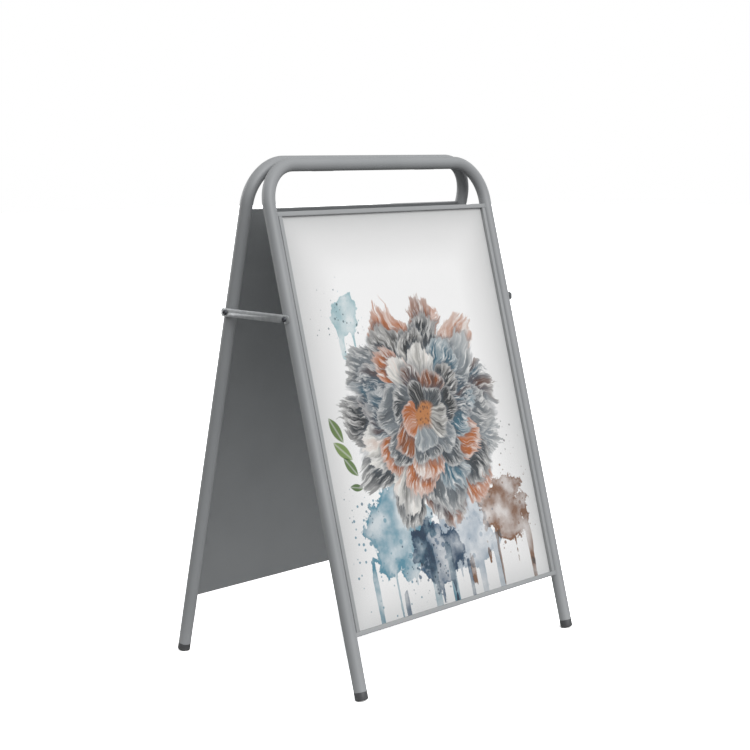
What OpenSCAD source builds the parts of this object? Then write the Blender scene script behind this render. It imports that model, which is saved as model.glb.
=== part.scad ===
// A-frame sandwich board: two bent tube frames that fold at the top bars, each with a sheet
// panel, four retaining rails, a poster and a clear cover sheet, and two hook-on side stays.
// Front is -Y, left is -X, and z = 0 is the floor. Each frame is drawn flat, with the axis of
// its top bar along X at the origin, its legs down -Z and its display side towards -Y.

/* [Poster] */
// Width of the poster sheet
poster_w = 600; // [400:10:900]
// Height of the poster sheet
poster_h = 800; // [500:10:1100]
// Thickness of the poster paper
paper_t = 0.3; // [0.2:0.1:0.6]
// Thickness of the clear cover sheet
cover_t = 0.5; // [0.4:0.1:1]

/* [Tube frames] */
// Outside diameter of the frame tube
tube_d = 25.4; // [20:0.1:32]
// Wall thickness of the frame tube
tube_wall = 1.5; // [1:0.1:2.5]
// Centre-line radius of the two top bends
bend_r = 80; // [50:1:100]
// Angle of each frame from the vertical when open
lean = 13.6; // [9:0.1:18]
// Distance along the leg from the top bar's axis to the panel
grip_drop = 91; // [75:1:140]
// Distance along the leg from the panel's lower edge to the foot's end
leg_below = 114; // [70:1:180]
// How much longer the rear legs are, so that the rear bar stands proud of the front bar
rear_extra = 5; // [0:0.5:8]
// Gap between the two top bars when open
bar_gap = 0.4; // [0.2:0.1:1]

/* [Panels and rails] */
// Thickness of the back panel sheet
panel_t = 1; // [0.8:0.1:1.5]
// Thickness of the rail sheet
rail_t = 1; // [0.8:0.1:1.5]
// Height of the front lip of the top and bottom rails
end_lip_w = 9; // [6:0.5:16]
// Width of the front lip of the side rails
side_lip_w = 8.8; // [7:0.2:16]
// Height of the rails' front face above the back panel
rail_depth = 7.3; // [4:0.1:9]
// Play between the poster's upper or lower edge and the rail
end_play = 1; // [0.5:0.1:3]
// Play between the poster's side edge and the rail
side_play = 3.8; // [1:0.1:5]
// Play between the cover sheet and the rails' inner walls
cover_play = 0.2; // [0.1:0.1:1]

/* [Feet] */
// Visible height of a foot below the tube's end
foot_h = 16; // [10:1:30]
// Length of the foot's plug inside the tube
plug_l = 22; // [10:1:40]
// Radius of the foot's rounded lower edge
foot_round = 3; // [1:0.5:5]
// Height cut from the foot's lower edge by the flat it stands on
foot_flat = 1; // [0.6:0.1:1.5]

/* [Side stays] */
// Distance along the leg from the top bar's axis to the stay's screws
stay_drop = 292; // [240:1:400]
// Height of the stay's flat bar
stay_h = 16; // [14:0.5:24]
// Thickness of the stay's flat bar
stay_t = 2.5; // [2:0.5:5]
// Length of the stay past the centre of each screw
stay_end = 11; // [9:0.5:16]
// Angle of the hook notch below the stay's length
hook_slant = 63; // [50:1:80]
// Clearance around the front screw in the hook notch
hook_play = 0.4; // [0.2:0.1:0.6]

/* [Stay screws] */
// Diameter of the screw's shoulder
shoulder_d = 6; // [5:0.5:8]
// Diameter of the screw's thread
thread_d = 5; // [4:0.5:5]
// Diameter of the screw's head
head_d = 10.5; // [9:0.5:14]
// Height of the screw's head
head_h = 2.8; // [2.4:0.1:5]
// Running clearance of the stay on the pivot screw, on the radius
pivot_play = 0.05; // [0.02:0.01:0.1]
// Thickness of the washer under the stay
washer_t = 0.5; // [0.5:0.1:2]
// Side play of the stay between the washer and the screw's head
stay_side_play = 0.1; // [0.1:0.1:0.5]

/* [Hinges] */
// Distance between the two hinges
hinge_spacing = 300; // [150:10:400]
// Length of a hinge
hinge_l = 60; // [45:1:90]
// Outside diameter of the hinge's knuckles
knuckle_d = 6.4; // [5.6:0.1:9]
// Diameter of the hinge pin
hinge_pin_d = 3.2; // [2.5:0.1:4]
// Running clearance of the pin in the rear knuckle, on the radius
pin_play = 0.04; // [0.02:0.01:0.08]
// Thickness of a hinge leaf
leaf_t = 1.5; // [1:0.1:2]
// Diameter of the hinge rivets
rivet_d = 3.2; // [2.4:0.2:4]

/* [Hidden] */
$fn = 96;
tube_r = tube_d / 2;
bore_r = tube_r - tube_wall;
panel_w = poster_w + 2 * (side_play + rail_t);
panel_h = poster_h + 2 * (end_play + rail_t);
leg_x = panel_w / 2 + tube_r;
bar_half = leg_x - bend_r;
front_leg_l = grip_drop + panel_h + leg_below;
rear_leg_l = front_leg_l + rear_extra;

// Heights of the two bar axes, with the flats of the feet on the floor
foot_rise = tube_r * sin(lean) - foot_round * (cos(lean) + sin(lean) - 1) - foot_flat;
front_z = front_leg_l * cos(lean) + foot_rise;
rear_z = rear_leg_l * cos(lean) + foot_rise;
// The bars lie side by side, and the feet stand equally far from y = 0
bar_pitch = tube_d + bar_gap;
bar_dy = sqrt(pow(bar_pitch, 2) - pow(rear_z - front_z, 2));
front_y = -(bar_dy + rear_extra * sin(lean)) / 2;
rear_y = front_y + bar_dy;

// Panel stack, as distances out from the tube's middle plane
paper_face = paper_t;
cover_face = paper_face + cover_t;
wall_end = cover_face + cover_play;
weld_bite = 0.3;

// How far a cut runs past the face that it opens
cut_past = 1;

// Foot
plug_play = 0.1;
plug_wall = 2;

// Stay, with its screws' centres
front_screw = [front_y - stay_drop * sin(lean), front_z - stay_drop * cos(lean)];
rear_screw = [rear_y + stay_drop * sin(lean), rear_z - stay_drop * cos(lean)];
stay_span = norm(rear_screw - front_screw);
stay_tilt = atan2(rear_screw[1] - front_screw[1], rear_screw[0] - front_screw[0]);
stay_corner = 5;

// Rivet nut and screw, as heights out from the tube's side
nut_flange_t = 0.8;
nut_flange_r = thread_d / 2 + 2.5;
nut_body_r = thread_d / 2 + 1;
nut_bulge_r = nut_body_r + 1;
nut_bulge_h = 2;
nut_l = 12;
nut_play = 0.05;
stay_seat = nut_flange_t + washer_t;
head_seat = stay_seat + stay_t + 2 * stay_side_play;
thread_l = 9;
washer_r = shoulder_d / 2 + 3;
washer_play = 0.1;
socket_d = 4.6;
socket_h = 2;
screw_dome_r = 0.75 * head_d;

// Hinge, drawn on the line between the bar axes, with its pin in the valley below them
knuckle_r = knuckle_d / 2;
knuckle_gap = 0.3;
knuckle_end_gap = 0.2;
pin_reach = tube_r + knuckle_r + knuckle_gap;
pin_drop = sqrt(pow(pin_reach, 2) - pow(bar_pitch / 2, 2));
pin_angle = atan2(pin_drop, bar_pitch / 2);
hinge_tilt = asin((rear_z - front_z) / bar_pitch);
leaf_clear = knuckle_r + knuckle_gap;
// The leaf's plate starts where it clears the other leaf's knuckle, and an ease on
leaf_ease = 1;
leaf_start = leaf_ease + acos((pow(tube_r + leaf_t, 2) + pow(pin_reach, 2)
    - pow(leaf_clear, 2)) / (2 * (tube_r + leaf_t) * pin_reach));
leaf_arc = 29;
knuckle_l = hinge_l / 3;
pin_head_r = hinge_pin_d / 2 + 1;
pin_head_h = 1;
rivet_x = hinge_l / 3;
rivet_angle = leaf_start + leaf_arc / 2;
rivet_head_r = rivet_d / 2 + 1.4;
rivet_head_h = 0.9;
rivet_dome_r = 2 * rivet_head_r;
rivet_tail_r = rivet_d / 2 + 0.7;
rivet_tail_h = 1;
rivet_tail_play = 0.05;

paint = [0.62, 0.63, 0.63];
paint_shade = [0.55, 0.56, 0.57];
zinc = [0.56, 0.57, 0.58];
black = [0.2, 0.2, 0.22];
clear = [0.9, 0.95, 1, 0.3];

// Puts a flat frame piece in its leaning place
module place_front() {
    translate([0, front_y, front_z]) rotate([-lean, 0, 0]) children();
}

module place_rear() {
    translate([0, rear_y, rear_z]) mirror([0, 1, 0]) rotate([-lean, 0, 0]) children();
}

// A round bar bent to the frame's line: one bar, two bends and two legs
module bent_bar(radius, leg_end) {
    translate([-bar_half, 0, 0]) rotate([0, 90, 0]) cylinder(r = radius, h = 2 * bar_half);
    for (side = [0, 1]) mirror([side, 0, 0]) {
        translate([bar_half, 0, -bend_r]) rotate([90, 0, 0])
            rotate_extrude(angle = 90) translate([bend_r, 0]) circle(r = radius);
        translate([leg_x, 0, -leg_end]) cylinder(r = radius, h = leg_end - bend_r);
    }
}

// Puts a piece at the stay's screw on both sides, its +Z pointing out of the tube's side
module at_screw(side) {
    translate([side * (leg_x + tube_r), 0, -stay_drop]) rotate([0, side * 90, 0]) children();
}

module tube_frame(leg_l) {
    tube_end = leg_l - foot_h;
    difference() {
        bent_bar(tube_r, tube_end);
        bent_bar(bore_r, tube_end + cut_past);
        for (side = [-1, 1]) at_screw(side)
            translate([0, 0, -tube_r / 2]) cylinder(r = nut_body_r + nut_play, h = tube_r);
    }
}

module back_panel() {
    color(paint_shade) translate([-panel_w / 2 - weld_bite, 0, -grip_drop - panel_h])
        cube([panel_w + 2 * weld_bite, panel_t, panel_h]);
}

// Rail section: front face, full outer wall on the left and short inner wall on the right,
// drawn with x across the rail from its outer face and y out from the panel
module rail_section(lip_w) {
    translate([0, rail_depth - rail_t]) square([lip_w, rail_t]);
    square([rail_t, rail_depth]);
    translate([lip_w - rail_t, wall_end]) square([rail_t, rail_depth - wall_end]);
}

// Rail across the top (end = 1) or the bottom (end = -1), coped to the round tubes
module end_rail(end) {
    outer_z = end > 0 ? -grip_drop : -grip_drop - panel_h;
    color(paint) difference() {
        translate([-leg_x, 0, outer_z]) mirror([0, 0, end > 0 ? 0 : 1])
            rotate([0, 90, 0]) mirror([0, 1, 0])
                linear_extrude(height = 2 * leg_x) rail_section(end_lip_w);
        for (side = [-1, 1]) translate([side * leg_x, 0, -grip_drop - panel_h - cut_past])
            cylinder(r = tube_r, h = panel_h + 2 * cut_past);
    }
}

// Rail on the left (side = -1) or the right (side = 1), between the end rails
module side_rail(side) {
    color(paint) translate([side * panel_w / 2, 0, -grip_drop - panel_h + end_lip_w])
        mirror([side > 0 ? 1 : 0, 0, 0]) mirror([0, 1, 0])
            linear_extrude(height = panel_h - 2 * end_lip_w) rail_section(side_lip_w);
}

// A sheet of the poster's size, from one distance out to another
module poster_sheet(from, to) {
    translate([-poster_w / 2, -to, -grip_drop - rail_t - end_play - poster_h])
        cube([poster_w, to - from, poster_h]);
}

module poster() {
    color("white") poster_sheet(0, paper_face);
}

module cover_sheet() {
    color(clear) poster_sheet(paper_face, cover_face);
}

module foot(leg_l) {
    translate([0, 0, -leg_l]) difference() {
        union() {
            rotate_extrude() {
                square([tube_r - foot_round, foot_h]);
                translate([0, foot_round]) square([tube_r, foot_h - foot_round]);
                translate([tube_r - foot_round, foot_round]) circle(r = foot_round);
            }
            cylinder(r = bore_r - plug_play, h = foot_h + plug_l);
        }
        translate([0, 0, foot_h - plug_wall])
            cylinder(r = bore_r - plug_play - plug_wall, h = plug_l + plug_wall + cut_past);
    }
}

// Takes away what would lie below the floor
module on_floor() {
    reach = 4 * front_leg_l;
    difference() {
        children();
        translate([-reach / 2, -reach / 2, -foot_h]) cube([reach, reach, foot_h]);
    }
}

module front_foot(side) {
    color(black) on_floor() place_front() translate([side * leg_x, 0, 0]) foot(front_leg_l);
}

module rear_foot(side) {
    color(black) on_floor() place_rear() translate([side * leg_x, 0, 0]) foot(rear_leg_l);
}

// Hinge frame: x along the bars, origin midway between them, +Y towards the rear bar
module place_hinge(side) {
    translate([side * hinge_spacing / 2, (front_y + rear_y) / 2, (front_z + rear_z) / 2])
        rotate([hinge_tilt, 0, 0]) children();
}

// Sector of a ring under the front bar, from one angle to another past the pin's direction
module saddle_section(from, to) {
    reach = 2 * tube_d;
    turn = [for (a = [from, (from + to) / 2, to]) -(pin_angle + a)];
    translate([-bar_pitch / 2, 0]) intersection() {
        difference() {
            circle(r = tube_r + leaf_t);
            circle(r = tube_r);
        }
        polygon(concat([[0, 0]], [for (a = turn) reach * [cos(a), sin(a)]]));
    }
}

// Extrudes a section drawn in y and z along x
module along_x(from, to) {
    translate([from, 0, 0]) rotate([90, 0, 90]) linear_extrude(height = to - from) children();
}

// One leaf on the front bar; spans lists the stretches of its knuckles along x
module hinge_leaf(spans, eye_r) {
    difference() {
        union() {
            along_x(-hinge_l / 2, hinge_l / 2) saddle_section(leaf_start, leaf_start + leaf_arc);
            for (span = spans) along_x(span[0], span[1]) {
                saddle_section(0, leaf_start + leaf_arc / 4);
                translate([0, -pin_drop]) circle(r = knuckle_r);
            }
        }
        for (span = spans) along_x(span[0] - cut_past, span[1] + cut_past)
            translate([0, -pin_drop]) circle(r = eye_r);
        hinge_rivet_places() translate([0, 0, tube_r - cut_past])
            cylinder(d = rivet_d, h = leaf_t + 2 * cut_past);
    }
}

// The two rivets of the front leaf, +Z pointing out of the bar through the leaf
module hinge_rivet_places() {
    for (x = [-rivet_x, rivet_x]) translate([x, -bar_pitch / 2, 0])
        rotate([-(90 + pin_angle + rivet_angle), 0, 0]) children();
}

// Tail inside the bar's bore, shank through the wall and the leaf, and a domed head
module hinge_rivet() {
    tail_top = sqrt(pow(bore_r, 2) - pow(rivet_tail_r, 2)) - rivet_tail_play;
    head_base = tube_r + leaf_t;
    translate([0, 0, tail_top - rivet_tail_h]) cylinder(r = rivet_tail_r, h = rivet_tail_h);
    translate([0, 0, tail_top]) cylinder(d = rivet_d, h = head_base + rivet_head_h / 2 - tail_top);
    translate([0, 0, head_base]) intersection() {
        cylinder(r = rivet_head_r, h = rivet_head_h);
        translate([0, 0, rivet_head_h - rivet_dome_r]) sphere(r = rivet_dome_r);
    }
}

front_spans = [[-hinge_l / 2, -knuckle_l / 2 - knuckle_end_gap],
    [knuckle_l / 2 + knuckle_end_gap, hinge_l / 2]];
rear_spans = [[-knuckle_l / 2 + knuckle_end_gap, knuckle_l / 2 - knuckle_end_gap]];

module front_hinge_leaf(side) {
    color(zinc) place_hinge(side) hinge_leaf(front_spans, hinge_pin_d / 2);
}

module rear_hinge_leaf(side) {
    color(zinc) place_hinge(side) mirror([0, 1, 0])
        hinge_leaf(rear_spans, hinge_pin_d / 2 + pin_play);
}

module hinge_pin(side) {
    color(zinc) place_hinge(side) translate([0, 0, -pin_drop]) rotate([0, 90, 0]) {
        cylinder(d = hinge_pin_d, h = hinge_l, center = true);
        for (end = [0, 1]) mirror([0, 0, end])
            translate([0, 0, hinge_l / 2]) cylinder(r = pin_head_r, h = pin_head_h);
    }
}

// The frame's two hinges put their rivets through the bar's wall
module hinge_rivet_holes() {
    for (side = [-1, 1]) place_hinge(side) hinge_rivet_places()
        translate([0, 0, tube_r / 2]) cylinder(d = rivet_d, h = tube_r);
}

module front_tube_frame() {
    color(paint) difference() {
        place_front() tube_frame(front_leg_l);
        hinge_rivet_holes();
    }
}

module rear_tube_frame() {
    color(paint) difference() {
        place_rear() tube_frame(rear_leg_l);
        rear_side() hinge_rivet_holes();
    }
}

// Mirrors a front piece of the hinge across the plane between the two bars
module rear_side() {
    translate([0, (front_y + rear_y) / 2, (front_z + rear_z) / 2])
        mirror([0, cos(hinge_tilt), sin(hinge_tilt)])
            translate([0, -(front_y + rear_y) / 2, -(front_z + rear_z) / 2]) children();
}

module front_hinge_rivets() {
    color(zinc) for (side = [-1, 1]) place_hinge(side) hinge_rivet_places() hinge_rivet();
}

module rear_hinge_rivets() {
    color(zinc) rear_side() for (side = [-1, 1]) place_hinge(side)
        hinge_rivet_places() hinge_rivet();
}

// Flat bar with rounded corners; x runs along the bar from the pivot to the hook
module stay_outline() {
    length = stay_span + 2 * stay_end;
    translate([-stay_end, 0]) {
        translate([stay_corner, -stay_h / 2]) square([length - 2 * stay_corner, stay_h]);
        translate([0, -stay_h / 2 + stay_corner]) square([length, stay_h - 2 * stay_corner]);
        for (x = [stay_corner, length - stay_corner], y = [-1, 1])
            translate([x, y * (stay_h / 2 - stay_corner)]) circle(r = stay_corner);
    }
}

module stay(side) {
    notch_r = shoulder_d / 2 + hook_play;
    color(zinc) translate([side * (leg_x + tube_r + stay_seat + stay_side_play + stay_t / 2),
            rear_screw[0], rear_screw[1]])
        rotate([stay_tilt, 0, 0]) rotate([0, 0, 180]) rotate([90, 0, 90])
            translate([0, 0, -stay_t / 2]) linear_extrude(height = stay_t) difference() {
                stay_outline();
                circle(r = shoulder_d / 2 + pivot_play);
                translate([stay_span, 0]) {
                    circle(r = notch_r);
                    rotate(180 + hook_slant) translate([0, -notch_r])
                        square([2 * stay_h, 2 * notch_r]);
                }
            }
}

// Thread in the rivet nut, shoulder through washer and stay, and a domed socket head
module stay_screw() {
    color(black) difference() {
        union() {
            translate([0, 0, nut_flange_t - thread_l]) cylinder(d = thread_d, h = thread_l);
            translate([0, 0, nut_flange_t])
                cylinder(d = shoulder_d, h = head_seat - nut_flange_t + head_h / 2);
            translate([0, 0, head_seat]) intersection() {
                cylinder(d = head_d, h = head_h);
                translate([0, 0, head_h - screw_dome_r]) sphere(r = screw_dome_r);
            }
        }
        screw_socket();
    }
}

module screw_socket() {
    translate([0, 0, head_seat + head_h - socket_h])
        cylinder(d = socket_d, h = 2 * socket_h, $fn = 6);
}

module rivet_nut() {
    bulge_top = sqrt(pow(bore_r, 2) - pow(nut_bulge_r, 2)) - tube_r - nut_play;
    color(zinc) difference() {
        union() {
            cylinder(r = nut_flange_r, h = nut_flange_t);
            translate([0, 0, nut_flange_t - nut_l]) cylinder(r = nut_body_r, h = nut_l);
            translate([0, 0, bulge_top - nut_bulge_h]) cylinder(r = nut_bulge_r, h = nut_bulge_h);
        }
        translate([0, 0, -nut_l]) cylinder(d = thread_d, h = 2 * nut_l);
    }
}

module stay_washer() {
    color(zinc) translate([0, 0, nut_flange_t]) difference() {
        cylinder(r = washer_r, h = washer_t);
        translate([0, 0, -cut_past])
            cylinder(r = shoulder_d / 2 + washer_play, h = washer_t + 2 * cut_past);
    }
}

module rivet_nuts() {
    for (side = [-1, 1]) at_screw(side) rivet_nut();
}

module stay_washers() {
    for (side = [-1, 1]) at_screw(side) stay_washer();
}

front_tube_frame();
rear_tube_frame();
place_front() back_panel();  // front_back_panel
place_rear() back_panel();  // rear_back_panel
place_front() end_rail(1);  // front_top_rail
place_front() end_rail(-1);  // front_bottom_rail
place_front() side_rail(-1);  // front_left_rail
place_front() side_rail(1);  // front_right_rail
place_rear() end_rail(1);  // rear_top_rail
place_rear() end_rail(-1);  // rear_bottom_rail
place_rear() side_rail(-1);  // rear_left_rail
place_rear() side_rail(1);  // rear_right_rail
place_front() poster();  // front_poster
place_rear() poster();  // rear_poster
place_front() cover_sheet();  // front_cover_sheet
place_rear() cover_sheet();  // rear_cover_sheet
front_foot(-1);  // front_left_foot
front_foot(1);  // front_right_foot
rear_foot(-1);  // rear_left_foot
rear_foot(1);  // rear_right_foot
front_hinge_leaf(-1);  // front_left_hinge_leaf
front_hinge_leaf(1);  // front_right_hinge_leaf
rear_hinge_leaf(-1);  // rear_left_hinge_leaf
rear_hinge_leaf(1);  // rear_right_hinge_leaf
hinge_pin(-1);  // left_hinge_pin
hinge_pin(1);  // right_hinge_pin
front_hinge_rivets();
rear_hinge_rivets();
stay(-1);  // left_stay
stay(1);  // right_stay
place_front() at_screw(-1) stay_screw();  // left_hook_screw
place_front() at_screw(1) stay_screw();  // right_hook_screw
place_rear() at_screw(-1) stay_screw();  // left_pivot_screw
place_rear() at_screw(1) stay_screw();  // right_pivot_screw
place_front() rivet_nuts();  // front_rivet_nuts
place_rear() rivet_nuts();  // rear_rivet_nuts
place_front() stay_washers();  // front_stay_washers
place_rear() stay_washers();  // rear_stay_washers
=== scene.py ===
"""Looks of a folding sandwich board: powder-coated tube frames with rails, prints and stays.

Everything is in metres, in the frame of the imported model: front is -Y, left is -X, z = 0 is
the floor. Most pieces are made flat, with their frame's top bar on the X axis, the legs down
-Z and the display side towards -Y, and are then leaned and set on the bar's real axis.
"""

import math

import bmesh
import bpy
from mathutils import Euler, Matrix, Vector


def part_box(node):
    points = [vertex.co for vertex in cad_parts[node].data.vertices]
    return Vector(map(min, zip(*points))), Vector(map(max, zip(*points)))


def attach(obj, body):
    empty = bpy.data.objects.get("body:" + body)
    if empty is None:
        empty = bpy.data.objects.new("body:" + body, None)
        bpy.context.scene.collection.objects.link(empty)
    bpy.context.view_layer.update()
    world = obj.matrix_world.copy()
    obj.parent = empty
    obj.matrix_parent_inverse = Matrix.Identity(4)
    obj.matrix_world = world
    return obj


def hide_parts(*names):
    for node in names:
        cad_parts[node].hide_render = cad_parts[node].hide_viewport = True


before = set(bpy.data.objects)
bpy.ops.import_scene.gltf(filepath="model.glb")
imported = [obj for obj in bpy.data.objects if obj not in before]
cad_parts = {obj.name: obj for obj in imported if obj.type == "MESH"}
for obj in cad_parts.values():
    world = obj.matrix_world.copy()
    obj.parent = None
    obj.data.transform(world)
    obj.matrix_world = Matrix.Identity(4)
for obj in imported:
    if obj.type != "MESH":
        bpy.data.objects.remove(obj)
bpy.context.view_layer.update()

MM = 0.001

# ---------------------------------------------------------------- sizes
TUBE_WALL = 1.5 * MM
BEND_R = 80 * MM
RING_SIDES = 64
BEND_STEPS = 24

PANEL_T = 1 * MM
PAPER_T = 0.3 * MM
COVER_OUT = 0.8 * MM
COVER_AIR = 0.03 * MM
COVER_CORNER = 2 * MM
RAIL_T = 1 * MM
END_LIP = 9 * MM
SIDE_LIP = 8.8 * MM
RAIL_DEPTH = 7.3 * MM
WALL_END = 1 * MM
FOLD_R = 1.2 * MM

FOOT_H = 16 * MM
FOOT_ROUND = 3 * MM
PLUG_L = 22 * MM
PLUG_PLAY = 0.1 * MM
PLUG_WALL = 2 * MM
FOOT_RIM = 0.5 * MM
RING_HEIGHT = 5 * MM
RING_W = 1 * MM
RING_DEPTH = 0.4 * MM

STAY_H = 16 * MM
STAY_END = 11 * MM
STAY_CORNER = 5 * MM
HOOK_SLANT = math.radians(63)
HOOK_PLAY = 0.4 * MM
PIVOT_PLAY = 0.05 * MM

SHOULDER_R = 3 * MM
SHOULDER_L = 3.2 * MM
THREAD_R = 2.5 * MM
THREAD_L = 9 * MM
HEAD_R = 5.25 * MM
HEAD_H = 2.8 * MM
HEAD_DOME = 2 * MM
SOCKET_R = 2.3 * MM
SOCKET_H = 2 * MM
NUT_HOLE_R = 3.55 * MM

CUT_EDGE = 0.15 * MM
STAY_EDGE = 0.3 * MM
SCREW_EDGE = 0.12 * MM
SHARP = math.radians(35)
# How near two coordinates are when they mean the same place, and when points become one
SAME_PLACE = 0.01 * MM
SAME_POINT = 0.001 * MM
DRILL_SIDES = 48


def middle(node):
    """The middle of a CAD node's box."""
    low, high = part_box(node)
    return (low + high) / 2


foot_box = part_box("front_right_foot")
TUBE_R = (foot_box[1].x - foot_box[0].x) / 2
LEG_X = middle("front_right_foot").x
BORE_R = TUBE_R - TUBE_WALL


class Side:
    """Where one frame stands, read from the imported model."""

    def __init__(self, name, screw, facing):
        low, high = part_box(name + "_tube_frame")
        bar_y = high.y - TUBE_R if facing < 0 else low.y + TUBE_R
        self.name = name
        self.body = name + "_frame"
        self.bar = Vector((0, bar_y, high.z - TUBE_R))
        self.screw = middle("left_" + screw)
        drop = self.bar - self.screw
        self.lean = math.atan2(abs(drop.y), drop.z)
        self.stay_drop = math.hypot(drop.y, drop.z)
        self.tube_end = self.along(low.z, -TUBE_R)
        panel_low, panel_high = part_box(name + "_back_panel")
        self.panel_top = self.along(panel_high.z, 0)
        self.panel_bottom = self.along(panel_low.z, -PANEL_T)
        # The rear frame is turned round, so its left is made at the flat frame's right
        self.mirror = -facing
        turn = 0 if facing < 0 else math.pi
        self.tilt = Euler((-self.lean, 0, turn))
        self.place = Matrix.Translation(self.bar) @ self.tilt.to_matrix().to_4x4()

    def along(self, height, out):
        """Distance down the leg from the bar's axis to a height, at a distance out from it."""
        return (self.bar.z - height + out * math.sin(self.lean)) / math.cos(self.lean)


SIDES = [Side("front", "hook_screw", -1), Side("rear", "pivot_screw", 1)]
front, rear = SIDES


# ---------------------------------------------------------------- modelling helpers
def alone(piece):
    """Selects one object and makes it the active one."""
    bpy.ops.object.select_all(action="DESELECT")
    piece.select_set(True)
    bpy.context.view_layer.objects.active = piece


def start(name, add_primitive, **settings):
    """Adds a primitive at its size and place, with its scale settled into its mesh."""
    bpy.ops.object.select_all(action="DESELECT")
    add_primitive(**settings)
    piece = bpy.context.active_object
    piece.name = piece.data.name = name
    bpy.ops.object.transform_apply(location=True, rotation=True, scale=True)
    return piece


def pick(piece, kind, test):
    """In edit mode, selects the faces, edges or vertices that pass a test, and no others."""
    modes = ("VERT", "EDGE", "FACE")
    bpy.context.tool_settings.mesh_select_mode = tuple(kind == mode for mode in modes)
    bpy.ops.mesh.select_all(action="DESELECT")
    mesh = bmesh.from_edit_mesh(piece.data)
    found = {"VERT": mesh.verts, "EDGE": mesh.edges, "FACE": mesh.faces}[kind]
    for item in found:
        if test(item):
            item.select_set(True)
    mesh.select_flush_mode()
    bmesh.update_edit_mesh(piece.data)


def spot(item):
    """The middle of a face or an edge."""
    return sum((v.co for v in item.verts), Vector()) / len(item.verts)


def near(value, wanted):
    """Whether a coordinate is the wanted one."""
    return abs(value - wanted) < SAME_PLACE


def push(x=0, y=0, z=0):
    """Extrudes what is selected by a step."""
    bpy.ops.mesh.extrude_region_move(TRANSFORM_OT_translate={"value": (x, y, z)})


def slice_at(point, normal, **settings):
    """Cuts every edge of the mesh where it crosses a plane."""
    bpy.ops.mesh.select_all(action="SELECT")
    bpy.ops.mesh.bisect(plane_co=point, plane_no=normal, threshold=SAME_POINT, **settings)


def apply(piece, kind, **settings):
    """Adds a modifier and applies it."""
    alone(piece)
    modifier = piece.modifiers.new(kind.title(), kind)
    for key, value in settings.items():
        setattr(modifier, key, value)
    bpy.ops.object.modifier_apply(modifier=modifier.name)


def cut(piece, cutter):
    """Takes the cutter's shape out of the piece, and the cutter away."""
    apply(piece, "BOOLEAN", object=cutter, operation="DIFFERENCE", solver="EXACT")
    bpy.data.objects.remove(cutter)


def soften(piece, width=CUT_EDGE, segments=2):
    """Rounds every sharp edge of a piece a little."""
    apply(piece, "BEVEL", width=width, segments=segments, limit_method="ANGLE",
          angle_limit=SHARP, use_clamp_overlap=True)


def settle(piece, body, slot, finish, *nodes, place=None):
    """Puts a piece in its place, smooths it, and gives it its material and its body."""
    alone(piece)
    if place is not None:
        piece.matrix_world = place @ piece.matrix_world
    bpy.ops.object.transform_apply(location=True, rotation=True, scale=True)
    bpy.ops.object.shade_smooth_by_angle(angle=SHARP)
    piece.data.materials.clear()
    piece.data.materials.append(finish)
    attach(piece, body)
    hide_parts(*nodes)


# ---------------------------------------------------------------- material helpers
def tone(code):
    """An sRGB hex colour as linear RGBA."""
    parts = [int(code[i:i + 2], 16) / 255 for i in (1, 3, 5)]
    return [p / 12.92 if p <= 0.04045 else ((p + 0.055) / 1.055) ** 2.4 for p in parts] + [1]


def add(tree, kind, *inputs, out=0, named=None, stops=None, **settings):
    """Adds a node with its settings, values, links and colour stops, and returns an output."""
    node = tree.nodes.new("ShaderNode" + kind)
    for key, value in settings.items():
        setattr(node, key, value)
    given = [pair for pair in enumerate(inputs) if pair[1] is not None]
    for key, value in given + list((named or {}).items()):
        if isinstance(value, bpy.types.NodeSocket):
            tree.links.new(value, node.inputs[key])
        else:
            node.inputs[key].default_value = value
    if stops:
        ramp = node.color_ramp
        while len(ramp.elements) < len(stops):
            ramp.elements.new(0.5)
        for element, (position, colour) in zip(ramp.elements, stops):
            element.position = position
            element.color = tone(colour) if isinstance(colour, str) else [colour] * 3 + [1]
    return node.outputs[out] if len(node.outputs) else node


def new_finish(name, **values):
    """A material with one Principled shader that has the given plain values."""
    material = bpy.data.materials.new(name)
    material.use_nodes = True
    tree = material.node_tree
    tree.nodes.clear()
    shader = add(tree, "BsdfPrincipled", named=values).node
    add(tree, "OutputMaterial", shader.outputs[0])
    return material, tree, shader


# Outputs of nodes that have several
OBJECT_SPACE = 3
BACK_SIDE = 6
COLOUR = 1
HOW_LONG = 1
# A colour Mix node's two inputs and its output
UNDER, OVER, BLEND = 6, 7, 2


def powder_coat(name, light, dark):
    """Silver-grey polyester powder coat on steel, sprayed and baked.

    The eye sees an even satin grey with a faint orange-peel skin and a fine aluminium flake.
    """
    material, tree, shader = new_finish(name, Metallic=0.0, IOR=1.5)
    place = add(tree, "TexCoord", out=OBJECT_SPACE)
    # Cloudy drift of the coat's thickness, about 150 mm across
    cloud = add(tree, "TexNoise", named={"Vector": place, "Scale": 1 / 0.15, "Detail": 2.0})
    # The flake is some 0.05 mm; it is drawn at 0.9 mm so that it shows
    flake = add(tree, "TexNoise", named={"Vector": place, "Scale": 1 / (0.9 * MM), "Detail": 1.0})
    mixed = add(tree, "Math", flake, 0.35, operation="MULTIPLY")
    amount = add(tree, "Math", cloud, 0.65, mixed, operation="MULTIPLY_ADD")
    colour = add(tree, "ValToRGB", amount, stops=[(0.3, dark), (0.7, light)])
    tree.links.new(colour, shader.inputs["Base Color"])
    rough = add(tree, "MapRange", flake, 0.3, 0.7, 0.42, 0.56)
    tree.links.new(rough, shader.inputs["Roughness"])
    # Orange peel: ripples 3 mm apart
    peel = add(tree, "TexNoise", named={"Vector": place, "Scale": 1 / (3 * MM), "Detail": 2.0})
    bump = add(tree, "Bump", named={"Strength": 0.12, "Distance": 0.2 * MM, "Height": peel})
    tree.links.new(bump, shader.inputs["Normal"])
    return material


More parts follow.
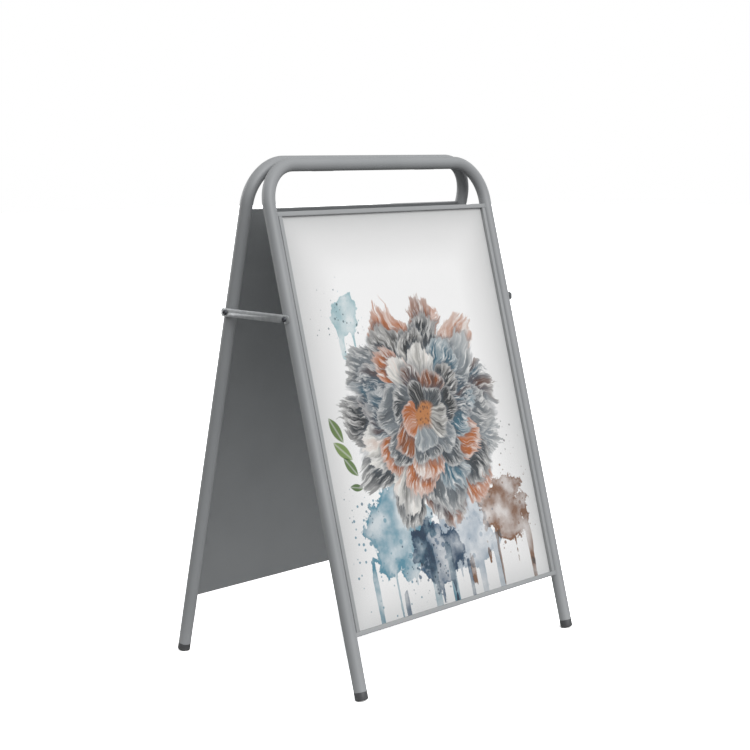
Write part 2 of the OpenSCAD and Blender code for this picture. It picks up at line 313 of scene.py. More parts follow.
def moulded_polyethylene():
    """Injection-moulded polyethylene, dark grey: a soft sheen, a fine spark-eroded grain, and
    paler scuffs where the cap meets the ground."""
    material, tree, shader = new_finish("moulded_polyethylene", Metallic=0.0, IOR=1.51)
    place = add(tree, "TexCoord", out=OBJECT_SPACE)
    height = add(tree, "SeparateXYZ", place).node.outputs[2]
    low = add(tree, "MapRange", height, 9 * MM, 1 * MM, 0.0, 1.0)
    wear = add(tree, "TexNoise", named={"Vector": place, "Scale": 1 / (2.5 * MM), "Detail": 4.0})
    scuff = add(tree, "Math", low, wear, operation="MULTIPLY")
    colour = add(tree, "ValToRGB", scuff, stops=[(0.0, "#4a4b4d"), (0.45, "#505151"),
                                                 (0.7, "#6f6f6d")])
    tree.links.new(colour, shader.inputs["Base Color"])
    rough = add(tree, "MapRange", wear, 0.3, 0.7, 0.42, 0.6)
    tree.links.new(rough, shader.inputs["Roughness"])
    grain = add(tree, "TexNoise", named={"Vector": place, "Scale": 1 / (0.7 * MM), "Detail": 2.0})
    bump = add(tree, "Bump", named={"Strength": 0.25, "Distance": 0.1 * MM, "Height": grain})
    tree.links.new(bump, shader.inputs["Normal"])
    return material


def zinc_plate(name, light, dark, grain_axes):
    """Bright zinc plate on rolled steel: a grey metal shine with rolling lines and mild clouds."""
    material, tree, shader = new_finish(name, Metallic=1.0)
    place = add(tree, "TexCoord", out=OBJECT_SPACE)
    cloud = add(tree, "TexNoise", named={"Vector": place, "Scale": 1 / (12 * MM), "Detail": 3.0})
    colour = add(tree, "ValToRGB", cloud, stops=[(0.35, dark), (0.65, light)])
    tree.links.new(colour, shader.inputs["Base Color"])
    # Rolling lines 0.6 mm apart, drawn out along the metal
    drawn = add(tree, "Mapping", named={"Vector": place, "Scale": grain_axes})
    lines = add(tree, "TexNoise", named={"Vector": drawn, "Scale": 1 / (0.6 * MM), "Detail": 2.0})
    rough = add(tree, "MapRange", lines, 0.3, 0.7, 0.34, 0.52)
    tree.links.new(rough, shader.inputs["Roughness"])
    bump = add(tree, "Bump", named={"Strength": 0.1, "Distance": 0.05 * MM, "Height": lines})
    tree.links.new(bump, shader.inputs["Normal"])
    return material


def black_zinc():
    """Black-passivated zinc on a screw: a dark, slightly blue metal, mottled in tone and roughness."""
    material, tree, shader = new_finish("black_zinc", Metallic=1.0)
    place = add(tree, "TexCoord", out=OBJECT_SPACE)
    mottle = add(tree, "TexNoise", named={"Vector": place, "Scale": 1 / (1.5 * MM), "Detail": 3.0})
    colour = add(tree, "ValToRGB", mottle, stops=[(0.3, "#54565b"), (0.7, "#717378")])
    tree.links.new(colour, shader.inputs["Base Color"])
    rough = add(tree, "MapRange", mottle, 0.3, 0.7, 0.36, 0.5)
    tree.links.new(rough, shader.inputs["Roughness"])
    return material


def clear_pet():
    """Clear PET sheet, extruded: all but invisible, with a gloss that grows at a slant."""
    material = bpy.data.materials.new("clear_pet")
    material.use_nodes = True
    tree = material.node_tree
    tree.nodes.clear()
    through = add(tree, "BsdfTransparent", tone("#ffffff"))
    gloss = add(tree, "BsdfGlossy", named={"Roughness": 0.12})
    # Light leaving the sheet isn't bent by this thin pane, so only its entry mirrors
    leaving = add(tree, "NewGeometry", out=BACK_SIDE)
    entering = add(tree, "Math", 1.0, leaving, operation="SUBTRACT")
    share = add(tree, "Math", add(tree, "Fresnel", 1.575), entering, operation="MULTIPLY")
    mixed = add(tree, "MixShader", share, through, gloss)
    add(tree, "OutputMaterial", mixed)
    return material


# ---------------------------------------------------------------- the printed picture
# The picture is drawn in decimetres from the middle of the sheet: x to the right, z up.
DM = 0.1
PAGE_HALF_W = 3.0
PAGE_HALF_H = 4.0
BLOOM_AT = (0.02, 0.0, -0.15)
# Rings of petals from the outside in: petals, reach, turn
BLOOM_RINGS = [(11, 2.35, 0.1), (9, 2.05, 0.55), (9, 1.72, 0.2), (8, 1.36, 0.7),
               (7, 1.0, 0.35), (5, 0.65, 0.8)]
PETAL_TONES = [(0.0, "#e9e9e6"), (0.14, "#8c9499"), (0.28, "#353c42"), (0.42, "#14181b"),
               (0.5, "#dedcd7"), (0.62, "#b0601f"), (0.72, "#552f1c"), (0.84, "#2f6276"),
               (1.0, "#efeeeb")]
# Splashes: middle, reach, colour, droplets per decimetre, seed
SPLASHES = [((-1.35, 0, -2.45), 1.25, "#5a93a8", 6.0, 3.0),
            ((-0.45, 0, -2.9), 0.8, "#2c5877", 6.0, 17.0),
            ((0.55, 0, -2.6), 0.95, "#a9b7c4", 6.0, 14.0),
            ((1.95, 0, -2.4), 0.85, "#8a6349", 7.0, 9.0),
            ((-1.75, 0, 1.95), 0.42, "#a9c8cf", 9.0, 52.0)]
# Fine spray: middle, reach, colour, droplets per decimetre, seed
SPRAYS = [((-2.0, 0, 1.9), 1.2, "#55707c", 9.0, 21.0), ((2.3, 0, -1.0), 1.0, "#76716f", 9.0, 27.0),
          ((-2.2, 0, -1.7), 0.9, "#3f7086", 9.0, 33.0), ((-0.6, 0, -3.2), 1.1, "#31576f", 9.0, 38.0)]
# Leaves: foot of the leaf, angle from the horizontal, length, colour
LEAVES = [((-2.4, 0, -0.45), 119, 0.6, "#6f8a4d"), ((-2.24, 0, -0.8), 138, 0.6, "#86a05c"),
          ((-2.17, 0, -1.12), 128, 0.52, "#6c8850"), ((-2.1, 0, -1.36), 168, 0.36, "#5d7a46")]


def drop_mask(tree, page, seed, per_dm, radius):
    """Round drops of many sizes scattered over the page; radius is in cell widths."""
    moved = add(tree, "VectorMath", page, (0, seed, 0), operation="ADD")
    cells = add(tree, "TexVoronoi", named={"Vector": moved, "Scale": per_dm})
    chance = add(tree, "SeparateXYZ", cells.node.outputs[COLOUR])
    size = add(tree, "MapRange", chance, 0.0, 1.0, 0.35, 1.35)
    inside = add(tree, "Math", add(tree, "Math", radius, size, operation="MULTIPLY"), cells,
                 operation="SUBTRACT")
    return add(tree, "MapRange", inside, 0.0, 0.06, 0.0, 1.0)


def splash(tree, page, sheet, middle_at, reach, colour, per_dm, seed):
    """A wet blot that breaks into drips below and drops all round."""
    away = add(tree, "VectorMath", page, middle_at, operation="SUBTRACT")
    axes = add(tree, "SeparateXYZ", away).node.outputs
    # Below the middle the blot runs down in drips: noise that changes only from side to side
    runs = add(tree, "TexNoise", named={"W": add(tree, "Math", axes[0], seed, operation="ADD"),
                                        "Scale": 3.6, "Detail": 0.5}, noise_dimensions="1D")
    fall = add(tree, "MapRange", axes[2], -0.2, -1.0, 0.0, 1.0)
    crest = add(tree, "MapRange", runs, 0.58, 0.7, 0.0, 1.5)
    drip = add(tree, "Math", crest, fall, operation="MULTIPLY")
    edge = add(tree, "TexNoise", named={"Vector": page, "W": seed, "Scale": 1.5, "Detail": 5.0,
                                        "Roughness": 0.62}, noise_dimensions="4D")
    rag = add(tree, "Math", edge, 2.3, -1.15, operation="MULTIPLY_ADD")
    length = add(tree, "VectorMath", away, out=HOW_LONG, operation="LENGTH")
    distance = add(tree, "Math", length, reach, operation="DIVIDE")
    inside = add(tree, "Math", add(tree, "Math", 0.85, distance, operation="SUBTRACT"),
                 add(tree, "Math", rag, drip, operation="ADD"), operation="ADD")
    blot = add(tree, "MapRange", inside, 0.0, 0.05, 0.0, 1.0)
    # Pigment gathers at the rim of a drying blot
    rim = add(tree, "MapRange", inside, 0.0, 0.22, 1.0, 0.65)
    wash = add(tree, "TexNoise", named={"Vector": page, "Scale": 2.2, "Detail": 4.0})
    depth = add(tree, "Math", add(tree, "MapRange", wash, 0.35, 0.65, 0.5, 1.5), rim,
                operation="MULTIPLY")
    reach_out = add(tree, "MapRange", distance, 0.5, 1.7, 0.3, 0.0)
    drops = drop_mask(tree, page, seed, per_dm, reach_out)
    ink = add(tree, "Math", add(tree, "Math", blot, depth, operation="MULTIPLY"),
              add(tree, "Math", drops, 0.85, operation="MULTIPLY"), operation="MAXIMUM",
              use_clamp=True)
    return add(tree, "Mix", ink, named={UNDER: sheet, OVER: tone(colour)}, out=BLEND,
               data_type="RGBA", blend_type="MULTIPLY")


def spray(tree, page, sheet, middle_at, reach, colour, per_dm, seed):
    """Fine drops flicked off a brush, thinner away from their middle."""
    away = add(tree, "VectorMath", page, middle_at, operation="SUBTRACT")
    length = add(tree, "VectorMath", away, out=HOW_LONG, operation="LENGTH")
    distance = add(tree, "Math", length, reach, operation="DIVIDE")
    patch = add(tree, "TexNoise", named={"Vector": page, "W": seed, "Scale": 1.2, "Detail": 2.0},
                noise_dimensions="4D")
    near_middle = add(tree, "MapRange", distance, 0.0, 1.0, 0.4, 0.0)
    radius = add(tree, "Math", near_middle, add(tree, "MapRange", patch, 0.4, 0.6, 0.45, 1.0),
                 operation="MULTIPLY")
    drops = drop_mask(tree, page, seed, per_dm, radius)
    ink = add(tree, "Math", drops, 0.8, operation="MULTIPLY")
    return add(tree, "Mix", ink, named={UNDER: sheet, OVER: tone(colour)}, out=BLEND,
               data_type="RGBA", blend_type="MULTIPLY")


def leaf(tree, page, sheet, foot_at, angle, length, colour):
    """One pointed brush stroke with a paler midrib."""
    own = add(tree, "Mapping", named={"Vector": page, "Location": foot_at,
                                      "Rotation": (0, -math.radians(angle), 0),
                                      "Scale": (length, 1, length)}, vector_type="TEXTURE")
    axes = add(tree, "SeparateXYZ", own).node.outputs
    # Half width along the leaf: widest before the middle, nothing at either end
    left = add(tree, "Math", 1.0, axes[0], operation="SUBTRACT")
    bow = add(tree, "Math", add(tree, "Math", axes[0], left, operation="MULTIPLY"), 0.85,
              operation="MULTIPLY")
    off = add(tree, "Math", axes[2], operation="ABSOLUTE")
    inside = add(tree, "Math", bow, off, operation="SUBTRACT")
    mask = add(tree, "MapRange", inside, 0.0, 0.03, 0.0, 1.0)
    rib = add(tree, "MapRange", off, 0.0, 0.05, 0.55, 1.0)
    ink = add(tree, "Math", mask, rib, operation="MULTIPLY")
    return add(tree, "Mix", ink, named={UNDER: sheet, OVER: tone(colour)}, out=BLEND,
               data_type="RGBA", blend_type="MULTIPLY")


def petal_ring(tree, bloom, sheet, number, petals, reach, turn):
    """One ring of ragged petals, each in its own tone, with brush hairs running outwards."""
    radius, angle = bloom
    turns = add(tree, "Math", angle, petals / math.tau, turn, operation="MULTIPLY_ADD")
    own = add(tree, "Math", add(tree, "Math", turns, operation="FLOOR"), float(petals),
              operation="FLOORED_MODULO")
    across = add(tree, "Math", add(tree, "Math", turns, operation="FRACT"), 2.0, -1.0,
                 operation="MULTIPLY_ADD")
    # Brush hairs: noise drawn out along the radius
    hair_at = add(tree, "CombineXYZ", add(tree, "Math", angle, 14.0, operation="MULTIPLY"),
                  add(tree, "Math", radius, 1.6, operation="MULTIPLY"), float(number))
    hair = add(tree, "TexNoise", named={"Vector": hair_at, "Scale": 1.6, "Detail": 5.0,
                                        "Roughness": 0.68})
    round_off = add(tree, "Math", 1.0, add(tree, "Math", across, across, operation="MULTIPLY"),
                    operation="SUBTRACT")
    lobe = add(tree, "Math", add(tree, "Math", round_off, 0.5, operation="POWER"), 0.3 * reach,
               0.56 * reach, operation="MULTIPLY_ADD")
    ragged = add(tree, "Math", hair, 0.3 * reach, lobe, operation="MULTIPLY_ADD")
    inside = add(tree, "Math", ragged, radius, operation="SUBTRACT")
    mask = add(tree, "MapRange", inside, 0.0, 0.04, 0.0, 1.0)
    # Each petal's own tone drifts a little, as wet paint does
    chance = add(tree, "TexWhiteNoise", add(tree, "CombineXYZ", own, float(number), 0.5))
    wash = add(tree, "TexNoise", named={"Vector": hair_at, "Scale": 0.45, "Detail": 2.0})
    drift = add(tree, "Math", chance, 0.75, add(tree, "Math", wash, 0.25, operation="MULTIPLY"),
                operation="MULTIPLY_ADD")
    tint = add(tree, "ValToRGB", drift, stops=PETAL_TONES)
    depth = add(tree, "MapRange", inside, 0.0, 0.3 * reach, 0.45, 1.2)
    strength = add(tree, "Math", add(tree, "MapRange", hair, 0.3, 0.52, 0.15, 1.25), depth,
                   operation="MULTIPLY", use_clamp=True)
    petal = add(tree, "Mix", strength, named={UNDER: tone("#f3f2f0"), OVER: tint}, out=BLEND,
                data_type="RGBA")
    # A soft shade falls on the ring below
    shade = add(tree, "MapRange", inside, -0.12, 0.0, 0.0, 0.45 if number else 0.0)
    below = add(tree, "Mix", shade, named={UNDER: sheet, OVER: tone("#49545f")}, out=BLEND,
                data_type="RGBA")
    return add(tree, "Mix", mask, named={UNDER: below, OVER: petal}, out=BLEND, data_type="RGBA")


def flower(tree, page, sheet):
    """A big open bloom: petal rings from the outside in, and a stippled rust-brown heart."""
    wobble = add(tree, "TexNoise", named={"Vector": page, "Scale": 0.9, "Detail": 3.0},
                 out=COLOUR)
    shifted = add(tree, "VectorMath", wobble, (-0.5, -0.5, -0.5), operation="ADD")
    warp = add(tree, "VectorMath", shifted, named={"Scale": 0.9}, operation="SCALE")
    warped = add(tree, "VectorMath", page, warp, operation="ADD")
    away = add(tree, "VectorMath", warped, BLOOM_AT, operation="SUBTRACT")
    axes = add(tree, "SeparateXYZ", away).node.outputs
    flat = add(tree, "CombineXYZ", axes[0], 0.0, axes[2])
    radius = add(tree, "VectorMath", flat, out=HOW_LONG, operation="LENGTH")
    angle = add(tree, "Math", axes[2], axes[0], operation="ARCTAN2")
    for number, (petals, reach, turn) in enumerate(BLOOM_RINGS):
        sheet = petal_ring(tree, (radius, angle), sheet, number, petals, reach, turn)
    heart = add(tree, "MapRange", radius, 0.26, 0.16, 0.0, 1.0)
    seeds = add(tree, "TexVoronoi", named={"Vector": page, "Scale": 14.0})
    stipple = add(tree, "ValToRGB", seeds, stops=[(0.1, "#59341f"), (0.5, "#b9783f")])
    return add(tree, "Mix", heart, named={UNDER: sheet, OVER: stipple}, out=BLEND, data_type="RGBA")


def poster_print(side):
    """Coated paper, offset printed: matt white stock with a watercolour flower on a ground that
    greys towards its edges. The eye sees wet blots with dark rims, drips and flicked drops."""
    material, tree, shader = new_finish(side.name + "_printed_paper", Metallic=0.0, IOR=1.5,
                                        Roughness=0.5)
    place = add(tree, "TexCoord", out=OBJECT_SPACE)
    page = add(tree, "Mapping", vector_type="TEXTURE",
               named={"Vector": place, "Location": middle(side.name + "_poster"),
                      "Rotation": side.tilt, "Scale": (DM, DM, DM)})
    axes = add(tree, "SeparateXYZ", page).node.outputs
    sides = add(tree, "Math", PAGE_HALF_W, add(tree, "Math", axes[0], operation="ABSOLUTE"),
                operation="SUBTRACT")
    ends = add(tree, "Math", PAGE_HALF_H, add(tree, "Math", axes[2], operation="ABSOLUTE"),
               operation="SUBTRACT")
    rim = add(tree, "Math", sides, ends, 0.5, operation="SMOOTH_MIN")
    sheet = add(tree, "ValToRGB", add(tree, "MapRange", rim, 0.0, 1.2, 0.0, 1.0),
                stops=[(0.0, "#cecfcf"), (0.4, "#e4e4e4"), (1.0, "#f7f7f7")])
    for blot in SPLASHES:
        sheet = splash(tree, page, sheet, *blot)
    for stroke in LEAVES:
        sheet = leaf(tree, page, sheet, *stroke)
    sheet = flower(tree, page, sheet)
    for drops in SPRAYS:
        sheet = spray(tree, page, sheet, *drops)
    # Grain of the painted original, about 1.5 mm
    grain = add(tree, "TexNoise", named={"Vector": page, "Scale": DM / (1.5 * MM), "Detail": 2.0})
    worn = add(tree, "MapRange", grain, 0.3, 0.7, 0.96, 1.03)
    final = add(tree, "Mix", 1.0, named={UNDER: sheet, OVER: worn}, out=BLEND,
                data_type="RGBA", blend_type="MULTIPLY")
    tree.links.new(final, shader.inputs["Base Color"])
    return material


# ---------------------------------------------------------------- pieces
def bent_tube(side, finish):
    """Sweeps a ring up one leg, round a bend, along the bar, round and down the other leg."""
    tube = start(side.name + "_bent_tube", bpy.ops.mesh.primitive_circle_add,
                 vertices=RING_SIDES, radius=TUBE_R, location=(-LEG_X, 0, -side.tube_end))
    bpy.ops.object.mode_set(mode="EDIT")
    bpy.ops.mesh.select_all(action="SELECT")
    leg = side.tube_end - BEND_R
    bend = {"steps": BEND_STEPS, "angle": -math.pi / 2, "axis": (0, 1, 0)}
    push(z=leg)
    bpy.ops.mesh.spin(center=(-LEG_X + BEND_R, 0, -BEND_R), **bend)
    push(x=2 * (LEG_X - BEND_R))
    bpy.ops.mesh.spin(center=(LEG_X - BEND_R, 0, -BEND_R), **bend)
    push(z=-leg)
    bpy.ops.mesh.select_all(action="SELECT")
    bpy.ops.mesh.remove_doubles(threshold=SAME_POINT)
    bpy.ops.mesh.normals_make_consistent(inside=False)
    bpy.ops.object.mode_set(mode="OBJECT")
    apply(tube, "SOLIDIFY", thickness=TUBE_WALL, offset=-1)
    for hand in (-1, 1):
        drill = start("drill", bpy.ops.mesh.primitive_cylinder_add, radius=NUT_HOLE_R,
                      depth=TUBE_R, vertices=32, rotation=(0, math.pi / 2, 0),
                      location=(hand * (LEG_X + TUBE_R), 0, -side.stay_drop))
        cut(tube, drill)
    settle(tube, side.body, "frame_paint", finish, side.name + "_tube_frame", place=side.place)


def folded_rail(name, length, lip):
    """A rail along X with its outer wall at the top: front lip, full outer wall, short inner."""
    rail = start(name, bpy.ops.mesh.primitive_cube_add, size=1, scale=(length, RAIL_T, lip),
                 location=(0, RAIL_T / 2 - RAIL_DEPTH, -lip / 2))
    bpy.ops.object.mode_set(mode="EDIT")
    slice_at((0, 0, -RAIL_T), (0, 0, 1))
    slice_at((0, 0, RAIL_T - lip), (0, 0, 1))
    back = RAIL_T - RAIL_DEPTH
    pick(rail, "FACE", lambda f: f.normal.y > 0.9 and spot(f).z > -RAIL_T)
    push(y=-back)
    pick(rail, "FACE", lambda f: f.normal.y > 0.9 and near(spot(f).y, back)
         and spot(f).z < RAIL_T - lip)
    push(y=-back - WALL_END)
    pick(rail, "EDGE", lambda e: near(spot(e).y, -RAIL_DEPTH) and near(spot(e).x, 0)
         and (near(spot(e).z, 0) or near(spot(e).z, -lip)))
    bpy.ops.mesh.bevel(offset=FOLD_R, segments=5, affect="EDGES")
    bpy.ops.object.mode_set(mode="OBJECT")
    return rail


def end_rail(side, end, finish):
    """The rail across the top or the bottom, coped to the two round legs."""
    name = side.name + "_" + end + "_rail"
    rail = folded_rail(name + "_folded", 2 * LEG_X, END_LIP)
    if end == "top":
        place = Matrix.Translation((0, 0, -side.panel_top))
    else:
        place = Matrix.Translation((0, 0, -side.panel_bottom)) @ Matrix.Rotation(math.pi, 4, "Y")
    for hand in (-1, 1):
        cut(rail, start("leg", bpy.ops.mesh.primitive_cylinder_add, radius=TUBE_R,
                        depth=4 * END_LIP, vertices=RING_SIDES, location=(hand * LEG_X, 0, 0)))
    soften(rail)
    settle(rail, side.body, "frame_paint", finish, name, place=side.place @ place)


def side_rail(side, hand, finish):
    """The rail down the left or the right, between the two end rails."""
    name = side.name + ("_left_rail" if hand < 0 else "_right_rail")
    length = side.panel_bottom - side.panel_top - 2 * END_LIP
    rail = folded_rail(name + "_folded", length, SIDE_LIP)
    soften(rail)
    flat_hand = hand * side.mirror
    centre = (flat_hand * (LEG_X - TUBE_R), 0, -(side.panel_top + side.panel_bottom) / 2)
    place = Matrix.Translation(centre) @ Matrix.Rotation(flat_hand * math.pi / 2, 4, "Y")
    settle(rail, side.body, "frame_paint", finish, name, place=side.place @ place)


def cover_pane(side, finish):
    """The clear sheet over the print, a hair's breadth off the paper, with rounded corners."""
    name = side.name + "_cover_sheet"
    low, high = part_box(name)
    top, bottom = side.along(high.z, COVER_OUT), side.along(low.z, PAPER_T)
    inner = PAPER_T + COVER_AIR
    pane = start(name + "_pane", bpy.ops.mesh.primitive_cube_add, size=1,
                 scale=(high.x - low.x, COVER_OUT - inner, bottom - top),
                 location=(0, -(COVER_OUT + inner) / 2, -(top + bottom) / 2))
    bpy.ops.object.mode_set(mode="EDIT")
    pick(pane, "EDGE", lambda e: near(e.verts[0].co.x, e.verts[1].co.x)
         and near(e.verts[0].co.z, e.verts[1].co.z))
    bpy.ops.mesh.bevel(offset=COVER_CORNER, segments=6, affect="EDGES")
    bpy.ops.object.mode_set(mode="OBJECT")
    settle(pane, side.body, "clear_cover", finish, name, place=side.place)


def foot_plug(side, hand, finish):
    """A plug with a cap as wide as the tube: rounded sole, ring groove, hollow plug inside."""
    name = side.name + ("_left_foot" if hand < 0 else "_right_foot")
    x, top = hand * side.mirror * LEG_X, -side.tube_end
    sole = top - FOOT_H
    foot = start(name + "_plug", bpy.ops.mesh.primitive_cylinder_add, vertices=RING_SIDES,
                 radius=TUBE_R, depth=FOOT_H, location=(x, 0, top - FOOT_H / 2))
    bpy.ops.object.mode_set(mode="EDIT")
    for offset in (0, RING_W / 2, RING_W):
        slice_at((0, 0, sole + RING_HEIGHT + offset), (0, 0, 1))
    ring = sole + RING_HEIGHT + RING_W / 2
    pick(foot, "VERT", lambda v: near(v.co.z, ring))
    shrink = 1 - RING_DEPTH / TUBE_R
    bpy.ops.transform.resize(value=(shrink, shrink, 1), center_override=(x, 0, ring))
    pick(foot, "FACE", lambda f: f.normal.z > 0.9)
    bpy.ops.mesh.inset(thickness=TUBE_R - BORE_R + PLUG_PLAY)
    push(z=PLUG_L)
    bpy.ops.mesh.inset(thickness=PLUG_WALL)
    push(z=-PLUG_L - PLUG_WALL)
    pick(foot, "EDGE", lambda e: all(near(v.co.z, sole) for v in e.verts))
    bpy.ops.mesh.bevel(offset=FOOT_ROUND, segments=8, affect="EDGES")
    pick(foot, "EDGE", lambda e: all(near(v.co.z, top) and math.hypot(v.co.x - x, v.co.y)
                                     > BORE_R + TUBE_WALL / 2 for v in e.verts))
    bpy.ops.mesh.bevel(offset=FOOT_RIM, segments=3, affect="EDGES")
    bpy.ops.object.mode_set(mode="OBJECT")
    alone(foot)
    foot.matrix_world = side.place @ foot.matrix_world
    bpy.ops.object.transform_apply(location=True, rotation=True, scale=True)
    bpy.ops.object.mode_set(mode="EDIT")
    slice_at((0, 0, 0), (0, 0, 1), use_fill=True, clear_inner=True)
    bpy.ops.object.mode_set(mode="OBJECT")
    settle(foot, side.body, "foot_plastic", finish, name)


def hook_stay(hand, finish):
    """A flat bar with round corners, a pivot hole at the rear and a slanted hook at the front."""
    name = "left_stay" if hand < 0 else "right_stay"
    low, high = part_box(name)
    reach = rear.screw - front.screw
    span = math.hypot(reach.y, reach.z)
    thick = high.x - low.x
    bar = start(name + "_flat_bar", bpy.ops.mesh.primitive_cube_add, size=1,
                scale=(thick, span + 2 * STAY_END, STAY_H))
    bpy.ops.object.mode_set(mode="EDIT")
    pick(bar, "EDGE", lambda e: near(spot(e).x, 0))
    bpy.ops.mesh.bevel(offset=STAY_CORNER, segments=8, affect="EDGES")
    bpy.ops.object.mode_set(mode="OBJECT")
    across = {"depth": 4 * thick, "vertices": DRILL_SIDES, "rotation": (0, math.pi / 2, 0)}
    cut(bar, start("drill", bpy.ops.mesh.primitive_cylinder_add, radius=SHOULDER_R + PIVOT_PLAY,
                   location=(0, span / 2, 0), **across))
    hook_r = SHOULDER_R + HOOK_PLAY
    cut(bar, start("drill", bpy.ops.mesh.primitive_cylinder_add, radius=hook_r,
                   location=(0, -span / 2, 0), **across))
    way = Vector((0, math.cos(HOOK_SLANT), -math.sin(HOOK_SLANT)))
    cut(bar, start("saw", bpy.ops.mesh.primitive_cube_add, size=1,
                   scale=(4 * thick, 2 * hook_r, 2 * STAY_H), rotation=(math.pi / 2 - HOOK_SLANT, 0, 0),
                   location=Vector((0, -span / 2, 0)) + way * STAY_H))
    soften(bar, STAY_EDGE, 3)
    centre = (front.screw + rear.screw) / 2
    centre.x = (low.x + high.x) / 2
    place = Matrix.Translation(centre) @ Matrix.Rotation(math.atan2(reach.z, reach.y), 4, "X")
    body = "stay_left" if hand < 0 else "stay_right"
    settle(bar, body, "stay_steel", finish, name, place=place)


def stay_screw(side, node, hand, finish):
    """A domed socket screw: head, shoulder that the stay turns on, and thread in the tube."""
    low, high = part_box(node)
    screw = start(node + "_domed", bpy.ops.mesh.primitive_cylinder_add, vertices=DRILL_SIDES,
                  radius=HEAD_R, depth=HEAD_H, location=(0, 0, -HEAD_H / 2))
    bpy.ops.object.mode_set(mode="EDIT")
    pick(screw, "FACE", lambda f: f.normal.z < -0.9)
    bpy.ops.mesh.inset(thickness=HEAD_R - SHOULDER_R)
    push(z=-SHOULDER_L)
    bpy.ops.mesh.inset(thickness=SHOULDER_R - THREAD_R)
    push(z=-THREAD_L)
    pick(screw, "EDGE", lambda e: all(near(v.co.z, 0) for v in e.verts))
    bpy.ops.mesh.bevel(offset=HEAD_DOME, segments=8, affect="EDGES")
    bpy.ops.object.mode_set(mode="OBJECT")
    cut(screw, start("key", bpy.ops.mesh.primitive_cylinder_add, vertices=6, radius=SOCKET_R,
                     depth=2 * SOCKET_H))
    soften(screw, SCREW_EDGE)
    at = Vector((low.x if hand < 0 else high.x, side.screw.y, side.screw.z))
    place = Matrix.Translation(at) @ Matrix.Rotation(hand * math.pi / 2, 4, "Y")
    settle(screw, side.body, "screw_black", finish, node, place=place)


def dress(node, finish):
    """Keeps a CAD node's own mesh and gives it its material."""
    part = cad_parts[node]
    part.data.materials.clear()
    part.data.materials.append(finish)


def build_board():
    """Makes every visible piece and dresses the CAD nodes that stay."""
    # One and the same coat covers the tube, the rails and the panels. The rails' tone is a little
    # lighter than the tube's and the panels' tone much lighter: painted light, making up for light
    # their faces don't get.
    tube_paint = powder_coat("powder_coated_tube", "#9c9ea0", "#929597")
    rail_coat_painted_light = powder_coat("powder_coated_rail", "#a2a4a5", "#989b9d")
    panel_coat_painted_light = powder_coat("powder_coated_panel", "#b9bcbe", "#b0b3b5")
    plastic = moulded_polyethylene()
    stay_zinc = zinc_plate("zinc_plated_bar", "#d4d7d8", "#c5c8ca", (1, 0.03, 1))
    zinc = zinc_plate("zinc_plated_fittings", "#b4b6b8", "#9fa2a5", (0.1, 1, 1))
    screw_black = black_zinc()
    clear = clear_pet()
    for side in SIDES:
        bent_tube(side, tube_paint)
        for end in ("top", "bottom"):
            end_rail(side, end, rail_coat_painted_light)
        screw = "hook_screw" if side is front else "pivot_screw"
        for hand, word in ((-1, "left_"), (1, "right_")):
            side_rail(side, hand, rail_coat_painted_light)
            foot_plug(side, hand, plastic)
            stay_screw(side, word + screw, hand, screw_black)
            dress(side.name + "_" + word + "hinge_leaf", zinc)
        dress(side.name + "_back_panel", panel_coat_painted_light)
        dress(side.name + "_poster", poster_print(side))
        cover_pane(side, clear)
        dress(side.name + "_rivet_nuts", zinc)
        dress(side.name + "_stay_washers", zinc)
        dress(side.name + "_hinge_rivets", zinc)
    for hand, word in ((-1, "left_"), (1, "right_")):
        hook_stay(hand, stay_zinc)
        dress(word + "hinge_pin", zinc)


# ---------------------------------------------------------------- studio
EYE = Vector((-2.4369, -2.2630, 0.9765))
AZIMUTH = math.radians(47.1144)
ELEVATION = math.radians(7.2430)
ROLL = math.radians(-0.7819)
LENS_MM = 78.72
SENSOR_MM = 36

FLOOR_SIZE = 60
FLOOR_SEEN = 2.8
FLOOR_BOUNCE = (0.78, 0.13)
SHEET_EDGE = (0.2, 0.7)
# Each light: where it comes from, how wide it is, how strong it is
LIGHTS = {"key": (Vector((-0.18, -1.0, 0.57)), math.radians(40), 2.0),
          "top": (Vector((0.0, 0.0, 1.0)), math.radians(60), 0.3),
          "back": (Vector((-0.2, 1.0, 0.12)), math.radians(40), 1.5),
          "side": (Vector((1.0, 0.0, 0.1)), math.radians(60), 0.5)}
AMBIENT = 0.48


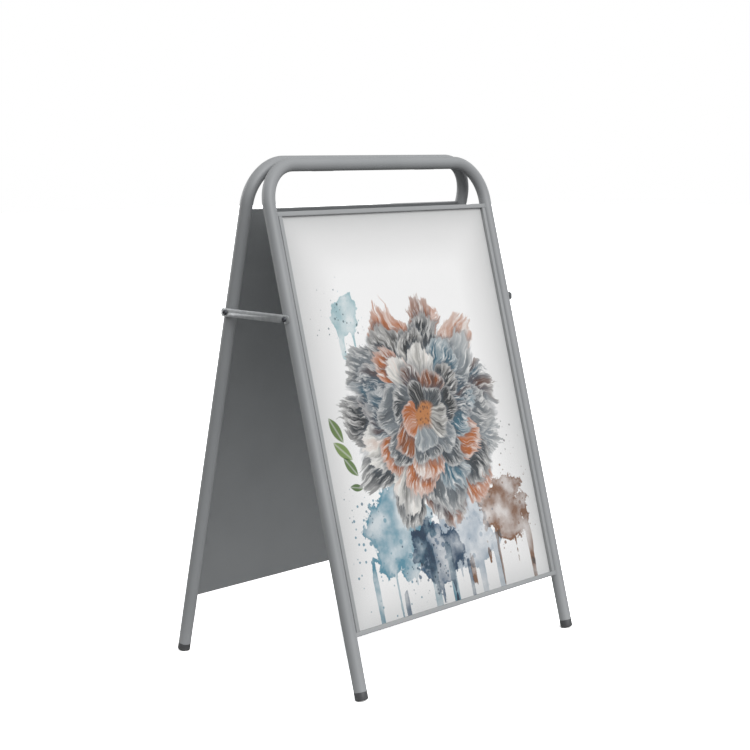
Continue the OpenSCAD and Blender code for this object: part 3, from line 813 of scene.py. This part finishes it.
def camera():
    """Stands the camera at eye height, off the board's front left corner."""
    view = Vector((math.sin(AZIMUTH) * math.cos(ELEVATION),
                   math.cos(AZIMUTH) * math.cos(ELEVATION), -math.sin(ELEVATION)))
    right = Vector((math.cos(AZIMUTH), -math.sin(AZIMUTH), 0))
    up = right.cross(view)
    rolled = right * math.cos(ROLL) + up * math.sin(ROLL)
    top = up * math.cos(ROLL) - right * math.sin(ROLL)
    lens = bpy.data.cameras.new("camera")
    lens.lens = LENS_MM
    lens.sensor_width = SENSOR_MM
    stand = bpy.data.objects.new("camera", lens)
    bpy.context.scene.collection.objects.link(stand)
    turned = Matrix((rolled, top, -view)).transposed().to_4x4()
    stand.matrix_world = Matrix.Translation(EYE) @ turned
    bpy.context.scene.camera = stand


def studio():
    """A plain pale floor, wide soft lights before, above, behind and to the right, and an even
    white room."""
    floor = start("floor", bpy.ops.mesh.primitive_plane_add, size=FLOOR_SIZE)
    material = bpy.data.materials.new("studio_floor")
    material.use_nodes = True
    tree = material.node_tree
    tree.nodes.clear()
    # The eye sees a white floor. It throws light back as a white sheet under the board would,
    # lying on a darker studio floor
    far = add(tree, "VectorMath", add(tree, "TexCoord", out=OBJECT_SPACE), out=HOW_LONG,
              operation="LENGTH")
    bounce = add(tree, "MapRange", far, *SHEET_EDGE, *FLOOR_BOUNCE)
    shade = add(tree, "Mix", add(tree, "LightPath"), None, bounce, FLOOR_SEEN)
    add(tree, "OutputMaterial", add(tree, "BsdfDiffuse", shade))
    floor.data.materials.append(material)

    for name, (source, spread, strength) in LIGHTS.items():
        light = bpy.data.lights.new(name, "SUN")
        light.angle = spread
        light.energy = strength
        lamp = bpy.data.objects.new(name, light)
        bpy.context.scene.collection.objects.link(lamp)
        lamp.rotation_euler = (-source).to_track_quat("-Z", "Y").to_euler()
        if name == "key":
            # Flagged off the inside of the rear panel, which it would reach through the handle
            flagged = bpy.data.collections.new("flagged")
            flagged.objects.link(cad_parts["rear_back_panel"])
            lamp.light_linking.receiver_collection = flagged
            flagged.collection_objects[0].light_linking.link_state = "EXCLUDE"

    world = bpy.data.worlds.new("room")
    bpy.context.scene.world = world
    world.use_nodes = True
    tree = world.node_tree
    tree.nodes.clear()
    seen = add(tree, "LightPath")
    strength = add(tree, "MapRange", seen, 0.0, 1.0, AMBIENT, 1.0)
    add(tree, "OutputWorld", add(tree, "Background", (1, 1, 1, 1), strength))
    bpy.context.scene.view_settings.view_transform = "Standard"


camera()
studio()
build_board()
